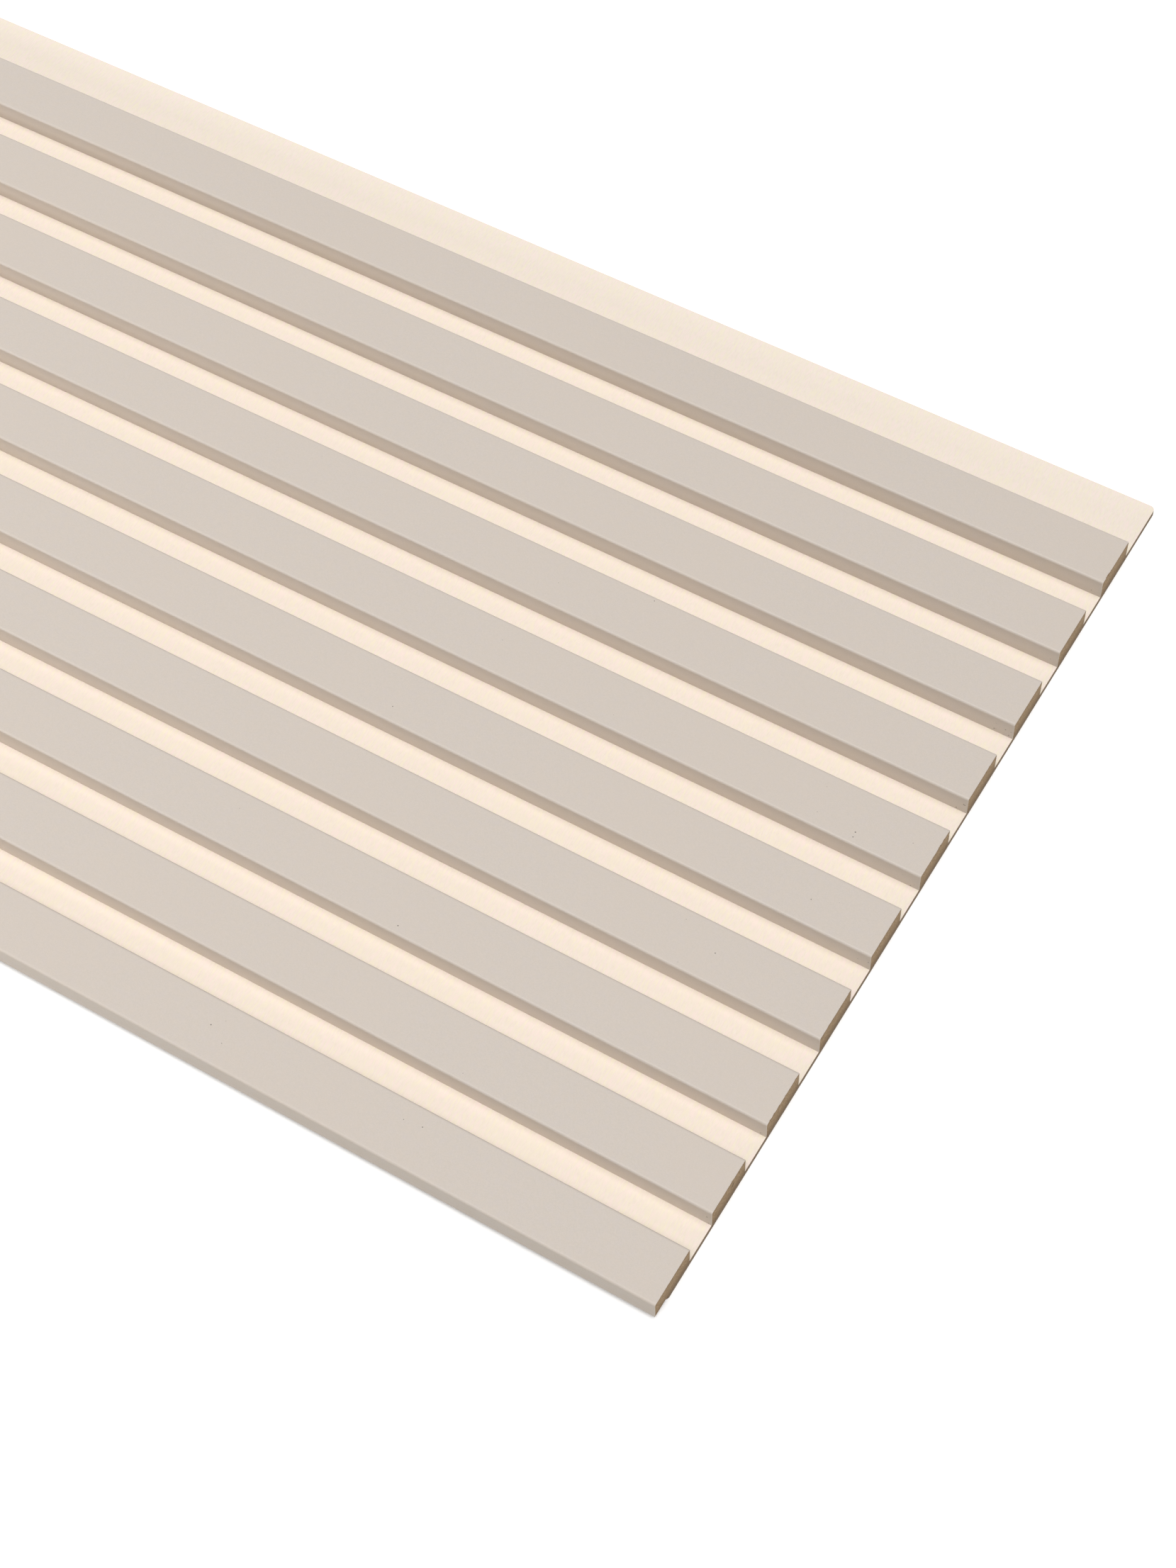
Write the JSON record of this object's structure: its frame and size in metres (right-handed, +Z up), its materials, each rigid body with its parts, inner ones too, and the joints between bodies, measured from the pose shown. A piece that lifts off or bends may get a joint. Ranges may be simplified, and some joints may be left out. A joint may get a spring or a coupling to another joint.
{
  "type": "acoustic slat panel",
  "caption": "Long wall panel of foil-wrapped MDF slats glued side by side on a thin faced board, with a bare strip and an overhanging slat that lap at the joint.",
  "frame": {"origin": "middle of the panel's outline, on the underside of the board that lies on the floor or against the wall", "axes": "+X along the slats; +Y across them, from the overhanging slat to the bare strip; +Z up, out of the board towards the slats"},
  "size_m": [2.75, 0.403, 0.0123],
  "materials": {
    "foil": "matte",
    "mdf": "matte",
    "facing": "matte",
    "fibreboard": "matte"
  },
  "bodies": {
    "root": {"backing_board": "fibreboard", "backing_facing": "facing", "slat_core_01": "mdf", "slat_core_02": "mdf", "slat_core_03": "mdf", "slat_core_04": "mdf", "slat_core_05": "mdf", "slat_core_06": "mdf", "slat_core_07": "mdf", "slat_core_08": "mdf", "slat_core_09": "mdf", "slat_core_10": "mdf", "slat_foil_01": "foil", "slat_foil_02": "foil", "slat_foil_03": "foil", "slat_foil_04": "foil", "slat_foil_05": "foil", "slat_foil_06": "foil", "slat_foil_07": "foil", "slat_foil_08": "foil", "slat_foil_09": "foil", "slat_foil_10": "foil"}
  },
  "joints": []
}
